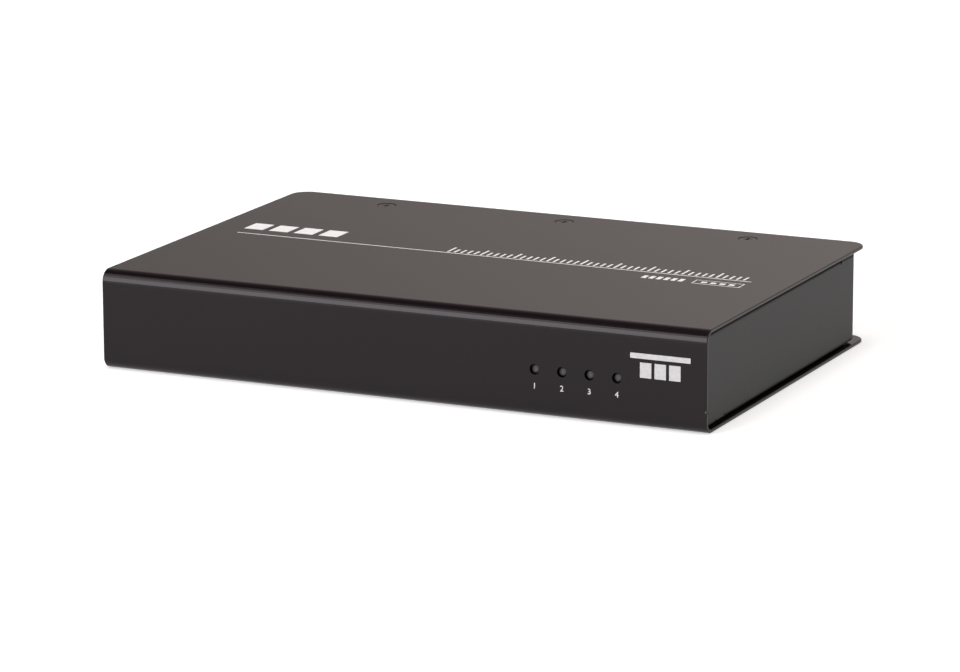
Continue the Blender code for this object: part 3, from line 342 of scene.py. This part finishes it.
metal("zinc_steel", (0.46, 0.47, 0.48), (0.60, 0.61, 0.60), roughness=0.33)
metal("nickel_plate", (0.58, 0.56, 0.52), (0.69, 0.67, 0.62), roughness=0.24,
      stretch=(1.0, 0.12, 1.0))
metal("brass", (0.66, 0.46, 0.15), (0.80, 0.58, 0.22), roughness=0.27)
metal("dark_aluminium", (0.022, 0.022, 0.024), (0.034, 0.034, 0.036), roughness=0.42,
      stretch=(1.0, 0.05, 1.0), metallic=0.7)
metal("can_aluminium", (0.62, 0.62, 0.63), (0.74, 0.74, 0.75), roughness=0.26,
      stretch=(1.0, 1.0, 0.08))
print("finishes:", len(finishes))

# %% [markdown]
# ## Mouldings, ferrite and resin
# Moulded plastic has the dull spark-eroded skin of its tool, and pressed ferrite is sandier. The lamps
# are cast in smoked resin. Their base colour carries painted light: each lamp is painted paler to the
# right, a painted highlight where light entering the dome from the left would gather, and darker to
# the left, painted shade. The lamps stand at one pitch, and the place across each is what is left of x
# after dividing by that pitch.

# %% Plastic, ferrite and lamp resin
SKIN_CLOUD = 60.0
SKIN_SMOOTHER = 0.06
SKIN_ROUGHER = 0.08


def moulded(name, dark, light, roughness, scale=2200.0, depth=0.000008):
    """Moulded plastic with an eroded skin."""
    material, shader = start_material(name, light, roughness)
    skin = grain(material, scale, detail=3.0)
    tint(material, shader, grain(material, SKIN_CLOUD), dark, light)
    roughen(material, shader, skin, roughness - SKIN_SMOOTHER, roughness + SKIN_ROUGHER)
    dent(material, shader, skin, depth, strength=0.5)
    finishes[name] = material


moulded("black_plastic", (0.012, 0.012, 0.012), (0.018, 0.018, 0.018), roughness=0.46)
moulded("white_plastic", (0.62, 0.61, 0.58), (0.72, 0.71, 0.68), roughness=0.42)
moulded("ferrite", (0.030, 0.030, 0.033), (0.060, 0.059, 0.060), roughness=0.62,
        scale=3800.0, depth=0.00002)

LAMP_SHADED_SIDE = (-0.0007, 0.0)  # across a lamp from its axis, share of the painted highlight tone
LAMP_LIT_SIDE = (0.0015, 1.0)
LAMP_PLAIN = (0.075, 0.075, 0.080)  # its tone in a plain viewport
LAMP_PAINTED_SHADE = (0.012, 0.011, 0.013)
LAMP_PAINTED_HIGHLIGHT = (0.145, 0.140, 0.150)
LAMP_GRAIN = 1600.0
LAMP_ROUGH = (0.40, 0.52)


def lamp_resin():
    """Smoked resin, with a painted highlight on the right of each lamp and painted shade on its left.
    """
    material, shader = start_material("lamp_resin", LAMP_PLAIN, roughness=0.45, specular=0.20)
    axes = [sum(corner.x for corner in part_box("indicator_lamp_%d" % number)) / 2 for number in (1, 2)]
    half = (axes[1] - axes[0]) / 2
    steps = (("SUBTRACT", axes[0] - half), ("MODULO", half * 2), ("SUBTRACT", half))
    across = calculated(material, coordinate(material), "X", *steps)
    # painted light: across each lamp the base colour goes from painted shade on the left to a painted
    # highlight on the right
    amount = ranged(material.node_tree, across.outputs["Value"], LAMP_SHADED_SIDE, LAMP_LIT_SIDE)
    blend_tones(material, shader, amount, LAMP_PAINTED_SHADE, LAMP_PAINTED_HIGHLIGHT)
    roughen(material, shader, grain(material, LAMP_GRAIN), *LAMP_ROUGH)
    finishes["lamp_resin"] = material


lamp_resin()
print("finishes:", len(finishes))

# %% [markdown]
# ## The board's solder resist
# A circuit board is green resist over copper. The tracks show as slightly paler, slightly raised
# lines. Two sets of bands at right angles, each broken up by slow noise, look like runs of tracks.

# %% Resist over copper tracks
TRACKS_PER_METRE = 160.0
TRACK_EDGE = 0.62               # a track is where a wave is higher than this
PATCHES_PER_METRE = 55.0
PATCH_EDGE = 0.5                # where the noise is higher, the tracks run the other way
TRACK_HEIGHT = 0.00003
RESIST_PLAIN = (0.006, 0.055, 0.020)
RESIST_DARK = (0.005, 0.050, 0.018)
RESIST_PALE = (0.016, 0.110, 0.040)


def board_resist():
    """Green resist with paler tracks under it."""
    material, shader = start_material("board_green", RESIST_PLAIN, roughness=0.32)
    place = add_node(material, "ShaderNodeTexCoord")
    bands = []
    for direction in ("X", "Y"):
        wave = add_node(material, "ShaderNodeTexWave", wave_type="BANDS", bands_direction=direction,
                        scale=TRACKS_PER_METRE, distortion=0.0)
        join(material, place, "Object", wave, "Vector")
        bands.append(calculated(material, wave, "Fac", ("GREATER_THAN", TRACK_EDGE)))
    slow_noise = grain(material, PATCHES_PER_METRE, detail=0.0)
    patches = calculated(material, slow_noise, "Fac", ("GREATER_THAN", PATCH_EDGE))
    mix = add_node(material, "ShaderNodeMix", data_type="FLOAT")
    join(material, patches, "Value", mix, "Factor")
    join(material, bands[0], "Value", mix, "A")
    join(material, bands[1], "Value", mix, "B")
    tint(material, shader, mix, RESIST_DARK, RESIST_PALE, output="Result")
    dent(material, shader, mix, TRACK_HEIGHT, strength=0.6, output="Result")
    finishes["board_green"] = material


board_resist()
print("finishes:", sorted(finishes))

# %% [markdown]
# ## Hang the finishes on the solids
# The record says which finish each solid has, so one loop is enough. A solid's mesh and place stay
# as they are: only its material slot is filled.

# %% Give every node its finish
for name, node in NODES.items():
    node.data.materials.clear()
    node.data.materials.append(finishes[SLOT_OF[name]])
print("dressed", len(NODES), "nodes in", len(finishes), "finishes")

# %% [markdown]
# ## White print on the paint
# The white marks are screen printed, a film of ink a few hundredths of a millimetre thick. A film
# could be a mask in the paint's material, but a thin raised piece keeps crisp edges from near and
# would go into an exported model as a real shape. Each mark is a bar that starts as a block, has its
# upright edges rounded, and is copied where it repeats. The marks are plain bars and numbers.

# %% Ink, and a bar of it
INK_FILM = 0.00003
INK_SINK = 0.00001
INK_ROUGH = (0.40, 0.55)
INK_MOTTLE = 900.0              # lumps per metre
UPRIGHT = INK_FILM / 2          # an edge that rises more than this is upright
CORNER_SEGMENTS = 4


def print_ink(name, thin, full):
    """Opaque ink, a little chalky, thin enough to follow the paint's grain."""
    material, shader = start_material(name, full, roughness=0.45, specular=0.3)
    tint(material, shader, grain(material, INK_MOTTLE, detail=3.0), thin, full)
    roughen(material, shader, grain(material, PAINT_SAND), *INK_ROUGH)
    dent(material, shader, grain(material, PAINT_PEEL), PAINT_PEEL_DEPTH)
    return material


def deselect():
    """Leaves nothing selected, because an operator acts on all that is."""
    bpy.ops.object.select_all(action="DESELECT")


def ink_bar(centre, width, height, corner):
    """A flat bar of ink, drawn on the ground plane, with its upright edges rounded."""
    deselect()
    bpy.ops.mesh.primitive_cube_add(size=1.0, location=(*centre, 0.0), scale=(width, height, INK_FILM))
    bar = bpy.context.object
    bpy.ops.object.transform_apply(location=False, rotation=False, scale=True)
    bpy.ops.object.mode_set(mode="EDIT")
    bpy.ops.mesh.select_all(action="DESELECT")
    mesh = bmesh.from_edit_mesh(bar.data)
    for edge in mesh.edges:
        edge.select_set(abs(edge.verts[0].co.z - edge.verts[1].co.z) > UPRIGHT)
    bpy.ops.mesh.bevel(offset=corner, segments=CORNER_SEGMENTS, affect="EDGES", clamp_overlap=True)
    bpy.ops.object.mode_set(mode="OBJECT")
    return bar


def copied(piece, step):
    """A copy of a piece with its own mesh, moved by a step."""
    twin = piece.copy()
    twin.data = piece.data.copy()
    twin.location = piece.location + Vector(step)
    bpy.context.scene.collection.objects.link(twin)
    return twin


def in_row(piece, step, count):
    """A piece and its copies, in a row to the right."""
    return [piece] + [copied(piece, (i * step, 0.0, 0.0)) for i in range(1, count)]


TOP_INK = print_ink("white_ink", (0.86, 0.87, 0.87), (0.94, 0.95, 0.95))
# The front's ink is a darker copy of the top's white ink: painted shade, set against the stronger lamp
# light on the front.
FRONT_INK_SHADED = print_ink("white_ink_shaded_front", (0.50, 0.51, 0.51), (0.58, 0.59, 0.59))
print("ink", INK_FILM * 1000, "mm thick")

# %% [markdown]
# A mark is drawn flat on the ground plane and then lifted to its face: on the top it is only moved,
# and for the front it is also stood up. After the place is applied, the object itself is back at the
# origin, unturned, as every finished piece here is.

# %% Join the bars of a mark and lay it on its face
ON_TOP = Matrix.Translation((0.0, 0.0, TOP + INK_FILM / 2 - INK_SINK))
STAND_UP = Matrix.Rotation(math.pi / 2, 4, "X")
ON_FRONT = Matrix.Translation((0.0, FRONT - INK_FILM / 2 + INK_SINK, 0.0)) @ STAND_UP


def join_pieces(pieces):
    """Joins several mesh objects into the first."""
    deselect()
    for piece in pieces:
        piece.select_set(True)
    bpy.context.view_layer.objects.active = pieces[0]
    if len(pieces) > 1:
        bpy.ops.object.join()
    return pieces[0]


def settle(piece, name, material):
    """Names a finished piece, puts its place into its mesh, and lets it ride on the body."""
    deselect()
    piece.select_set(True)
    bpy.context.view_layer.objects.active = piece
    bpy.ops.object.transform_apply(location=True, rotation=True, scale=True)
    piece.name = name
    piece.data.name = name
    piece.data.materials.clear()
    piece.data.materials.append(material)
    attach(piece, "root")


def print_mark(name, bars, face=ON_TOP, ink=TOP_INK):
    """One printed mark from its bars."""
    mark = join_pieces(bars)
    mark.matrix_world = face @ mark.matrix_world
    settle(mark, name, ink)
    print(name, "has", len(mark.data.polygons), "faces")


print("print helpers ready")

# %% [markdown]
# ## The line and the scale on the top
# A thin white line crosses most of the top, at the middle of its depth. Behind its right part lies a
# row of fine strokes of two lengths, like the graduations of a rule.

# %% Print the line and its scale
LINE_LEFT = -0.0879
LINE_RIGHT = 0.0872
LINE_Y = -0.0003
LINE_WIDTH = 0.0005
LINE_CORNER = LINE_WIDTH / 3
SCALE_LEFT = -0.0148
SCALE_RIGHT = 0.0842
SCALE_STROKES = 45
STROKE_WIDTH = 0.0007
STROKE_CORNER = STROKE_WIDTH / 3
STROKE_FOOT = 0.0012
STROKE_SHORT = 0.0042
STROKE_TALL = 0.0064
TALL_EVERY = 5

line_middle = ((LINE_LEFT + LINE_RIGHT) / 2, LINE_Y)
print_mark("print_line", [ink_bar(line_middle, LINE_RIGHT - LINE_LEFT, LINE_WIDTH, LINE_CORNER)])

step = (SCALE_RIGHT - SCALE_LEFT) / (SCALE_STROKES - 1)
strokes = []
for height, wanted in ((STROKE_TALL, True), (STROKE_SHORT, False)):
    middle = LINE_Y + STROKE_FOOT + height / 2
    first = ink_bar((SCALE_LEFT, middle), STROKE_WIDTH, height, STROKE_CORNER)
    for i in range(SCALE_STROKES):
        if (i % TALL_EVERY == 0) == wanted:
            strokes.append(copied(first, (i * step, 0.0, 0.0)))
    bpy.data.objects.remove(first)
print_mark("print_scale", strokes)

# %% [markdown]
# The small frame in front of the line's right end is an outline. It starts as a bar with round ends.
# Its top and bottom faces are inset, the inner ones are deleted, and the two loops that are left are
# bridged, so that the frame is a closed ring.

# %% Print the small frame and the strokes beside it
FRAME_CENTRE = (0.0789, -0.0066)
FRAME_SIZE = (0.0157, 0.0050)
FRAME_LINE = 0.00035
FRAME_ROUND = 0.49              # corner, as a share of the frame's height
FACES_UP = 0.9                  # how upright a normal is on the top and bottom faces
DOT_LEFT = FRAME_CENTRE[0] - 0.0045
DOT_SIZE = 0.0018
DOT_CORNER = 0.0008
DOT_STEP = 0.0030
DOT_COUNT = 4
COUNT_LEFT = 0.0550
COUNT_STROKES = 6
COUNT_STEP = 0.0024
COUNT_STROKE = (0.0015, 0.0034)
COUNT_CORNER = COUNT_STROKE[0] / 4


def outlined(bar, width):
    """Turns a bar into a closed ring by insetting both faces and bridging the holes."""
    deselect()
    bar.select_set(True)
    bpy.context.view_layer.objects.active = bar
    bpy.ops.object.mode_set(mode="EDIT")
    bpy.ops.mesh.select_all(action="DESELECT")
    mesh = bmesh.from_edit_mesh(bar.data)
    for face in mesh.faces:
        face.select_set(abs(face.normal.z) > FACES_UP)
    bpy.ops.mesh.inset(thickness=width, use_individual=True)
    bpy.ops.mesh.delete(type="ONLY_FACE")
    mesh = bmesh.from_edit_mesh(bar.data)
    for edge in mesh.edges:
        edge.select_set(len(edge.link_faces) == 1)
    bpy.ops.mesh.bridge_edge_loops()
    bpy.ops.object.mode_set(mode="OBJECT")
    return bar


ring = outlined(ink_bar(FRAME_CENTRE, *FRAME_SIZE, FRAME_SIZE[1] * FRAME_ROUND), FRAME_LINE)
dot = ink_bar((DOT_LEFT, FRAME_CENTRE[1]), DOT_SIZE, DOT_SIZE, DOT_CORNER)
print_mark("print_frame", [ring] + in_row(dot, DOT_STEP, DOT_COUNT))

count_stroke = ink_bar((COUNT_LEFT, FRAME_CENTRE[1]), *COUNT_STROKE, COUNT_CORNER)
print_mark("print_count", in_row(count_stroke, COUNT_STEP, COUNT_STROKES))

# %% [markdown]
# ## The bold mark on the top and the one on the front
# Both places hold plain blocks here: four in a row behind the line's left end, and three under a thin
# bar at the right end of the front.

# %% Print the bold blocks
BLOCK_LEFT = -0.0855
BLOCK_Y = 0.0101
BLOCK_SIZE = (0.0066, 0.0084)
BLOCK_STEP = 0.0088
BLOCK_COUNT = 4
BLOCK_CORNER = 0.0012

block = ink_bar((BLOCK_LEFT, BLOCK_Y), *BLOCK_SIZE, BLOCK_CORNER)
print_mark("print_blocks", in_row(block, BLOCK_STEP, BLOCK_COUNT))

FRONT_BAR_CENTRE = (0.0853, 0.0218)
FRONT_BAR_SIZE = (0.0190, 0.0016)
FRONT_BAR_CORNER = 0.0005
FRONT_BLOCK_CENTRE = (0.0807, 0.0176)
FRONT_BLOCK_SIZE = (0.0036, 0.0046)
FRONT_BLOCK_CORNER = 0.0006
FRONT_BLOCK_STEP = 0.0046
FRONT_BLOCK_COUNT = 3

front_bar = ink_bar(FRONT_BAR_CENTRE, *FRONT_BAR_SIZE, FRONT_BAR_CORNER)
front_block = ink_bar(FRONT_BLOCK_CENTRE, *FRONT_BLOCK_SIZE, FRONT_BLOCK_CORNER)
front_blocks = in_row(front_block, FRONT_BLOCK_STEP, FRONT_BLOCK_COUNT)
print_mark("print_front_blocks", [front_bar] + front_blocks, ON_FRONT, FRONT_INK_SHADED)

# %% [markdown]
# ## Numbers under the lamps
# Each lamp has a number under it. A text object gives the outline of a digit, its extrude gives the
# film, and it is made a mesh before its place is applied.

# %% Number the lamps
DIGIT_HEIGHT = 0.0018
DIGIT_FOOT = 0.0086
DIGIT_BOLDER = 0.00003          # how far its outline is pushed out
FONT_CAP = 0.73                 # height of a digit, as a share of the text size
LAMP_COUNT = 4


def digit(text, x):
    """A digit of ink that stands on its foot at a place."""
    deselect()
    bpy.ops.object.text_add(location=(x, DIGIT_FOOT, 0.0))
    letter = bpy.context.object
    letter.data.body = text
    letter.data.align_x = "CENTER"
    letter.data.size = DIGIT_HEIGHT / FONT_CAP
    letter.data.extrude = INK_FILM / 2
    letter.data.offset = DIGIT_BOLDER
    bpy.ops.object.convert(target="MESH")
    return bpy.context.object


for number in range(1, LAMP_COUNT + 1):
    low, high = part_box("indicator_lamp_%d" % number)
    figure = digit(str(number), (low.x + high.x) / 2)
    print_mark("print_digit_%d" % number, [figure], ON_FRONT, FRONT_INK_SHADED)

# %% [markdown]
# ## The floor and the room
# The floor is pale and matt. It is seen as white, because part of its light is its own for camera,
# glossy and transmission rays. The rest is real light, so the box still has its shadow. The lamps
# don't reach far, so more of the light is the floor's own at a distance. The world is white in a low
# band all round, which carries on the floor past its edge. Above that band it is a dim studio: warm,
# palest a little above the horizon, dimmer on the left, and dark overhead, which is what draws the
# dark line along the top edge of the front bend.

# %% Lay the floor
FLOOR_DROP = 0.00005
FLOOR_SIZE = 14.0
FLOOR_TONE = (0.80, 0.80, 0.80)
FLOOR_ROUGH = 0.9
FLOOR_OWN_NEAR = (0.5, 0.46)    # distance from the box, own light
FLOOR_OWN_FAR = (2.5, 0.80)     # the lamps don't reach here


def seen_directly(tree):
    """A value of 1 for camera, glossy and transmission rays."""
    path = tree.nodes.new("ShaderNodeLightPath")
    total = None
    for name in ("Is Glossy Ray", "Is Transmission Ray"):
        either = tree.nodes.new("ShaderNodeMath")
        either.operation = "MAXIMUM"
        tree.links.new(total or path.outputs["Is Camera Ray"], either.inputs[0])
        tree.links.new(path.outputs[name], either.inputs[1])
        total = either.outputs[0]
    return total


def floor_material():
    """Matt pale floor with some light of its own where it is seen."""
    material, shader = start_material("pale_floor", FLOOR_TONE, FLOOR_ROUGH, specular=0.0)
    tree = material.node_tree
    place = tree.nodes.new("ShaderNodeTexCoord")
    distance = tree.nodes.new("ShaderNodeVectorMath")
    distance.operation = "LENGTH"
    tree.links.new(place.outputs["Object"], distance.inputs[0])
    strength = tree.nodes.new("ShaderNodeMath")
    strength.operation = "MULTIPLY"
    own = ranged(tree, distance.outputs["Value"], FLOOR_OWN_NEAR, FLOOR_OWN_FAR)
    tree.links.new(seen_directly(tree), strength.inputs[0])
    tree.links.new(own, strength.inputs[1])
    shader.inputs["Emission Color"].default_value = (1.0, 1.0, 1.0, 1.0)
    tree.links.new(strength.outputs[0], shader.inputs["Emission Strength"])
    return material


deselect()
bpy.ops.mesh.primitive_plane_add(size=FLOOR_SIZE, location=(0.0, 0.0, -FLOOR_DROP))
floor = bpy.context.object
floor.name = "floor"
floor.data.materials.append(floor_material())
floor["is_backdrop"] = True
print("floor", FLOOR_SIZE, "m wide")

# %% Make the world
ROOM_STOPS = (
    # sine of the elevation, light
    (0.00, (0.43, 0.385, 0.365)),
    (0.16, (0.50, 0.447, 0.424)),
    (0.28, (0.66, 0.590, 0.558)),
    (0.55, (0.46, 0.41, 0.385)),
    (0.75, (0.34, 0.30, 0.285)),
    (0.88, (0.05, 0.045, 0.04)),
    (1.00, (0.03, 0.03, 0.03)),
)
ROOM_DIM_SIDE = (-0.60, 0.38)   # x of the direction, share of the light
ROOM_FULL_SIDE = (-0.20, 1.30)
LOW_BAND_FULL = (0.05, 1.0)     # sine of the elevation, share of plain white
LOW_BAND_GONE = (0.10, 0.0)

world = bpy.data.worlds.new("studio")
bpy.context.scene.world = world
world.use_nodes = True
tree = world.node_tree
direction = tree.nodes.new("ShaderNodeTexCoord")
parts = tree.nodes.new("ShaderNodeSeparateXYZ")
tree.links.new(direction.outputs["Generated"], parts.inputs[0])

ramp = tree.nodes.new("ShaderNodeValToRGB")
while len(ramp.color_ramp.elements) < len(ROOM_STOPS):
    ramp.color_ramp.elements.new(0.5)
for element, (place, light) in zip(ramp.color_ramp.elements, ROOM_STOPS):
    element.position = place
    element.color = (*light, 1.0)
tree.links.new(parts.outputs["Z"], ramp.inputs["Fac"])

side_light = ranged(tree, parts.outputs["X"], ROOM_DIM_SIDE, ROOM_FULL_SIDE)
low_band = ranged(tree, parts.outputs["Z"], LOW_BAND_FULL, LOW_BAND_GONE)
room = tree.nodes["Background"]
tree.links.new(ramp.outputs["Color"], room.inputs["Color"])
tree.links.new(side_light, room.inputs["Strength"])
white = tree.nodes.new("ShaderNodeBackground")
white.inputs["Color"].default_value = (1.0, 1.0, 1.0, 1.0)
choose = tree.nodes.new("ShaderNodeMixShader")
tree.links.new(low_band, choose.inputs["Fac"])
tree.links.new(room.outputs["Background"], choose.inputs[1])
tree.links.new(white.outputs["Background"], choose.inputs[2])
tree.links.new(choose.outputs["Shader"], tree.nodes["World Output"].inputs["Surface"])
print("world has", len(ROOM_STOPS), "stops over a white band")

# %% [markdown]
# ## The lamps
# One large soft box stands in front on the left, from the floor up. The front bend mirrors it as a
# pale band that ends sharply where the flat front begins. A dimmer one over it softens the band's
# upper end. The third hangs over the box and lights the print without showing in the bend.

# %% Hang the soft boxes
AIM = Vector((0.0, 0.0, 0.015))
WHITE = (1.0, 1.0, 1.0)
ROSE = (1.0, 0.955, 1.0)


def soft_box(name, place, width, height, radiance, colour):
    """A rectangular lamp that faces the object; radiance 1 looks white."""
    data = bpy.data.lights.new(name, "AREA")
    data.shape = "RECTANGLE"
    data.size, data.size_y = width, height
    data.energy = radiance * math.pi * width * height
    data.color = colour
    lamp = bpy.data.objects.new(name, data)
    bpy.context.scene.collection.objects.link(lamp)
    lamp.location = place
    lamp.rotation_euler = (AIM - Vector(place)).to_track_quat("-Z", "Y").to_euler()


soft_box("front_left_box", (-0.66, -1.35, 0.54), width=0.70, height=1.14, radiance=6.4, colour=ROSE)
soft_box("upper_left_box", (-0.68, -1.14, 1.40), width=1.5, height=0.54, radiance=2.8, colour=ROSE)
soft_box("overhead_box", (0.10, 0.0, 1.8), width=0.9, height=0.9, radiance=5.8, colour=WHITE)

# %% Write the sizes and finish
SIZE["visual"] = [list(corner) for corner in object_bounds()]
print("solids", SIZE["cad"], "dressed", SIZE["visual"])
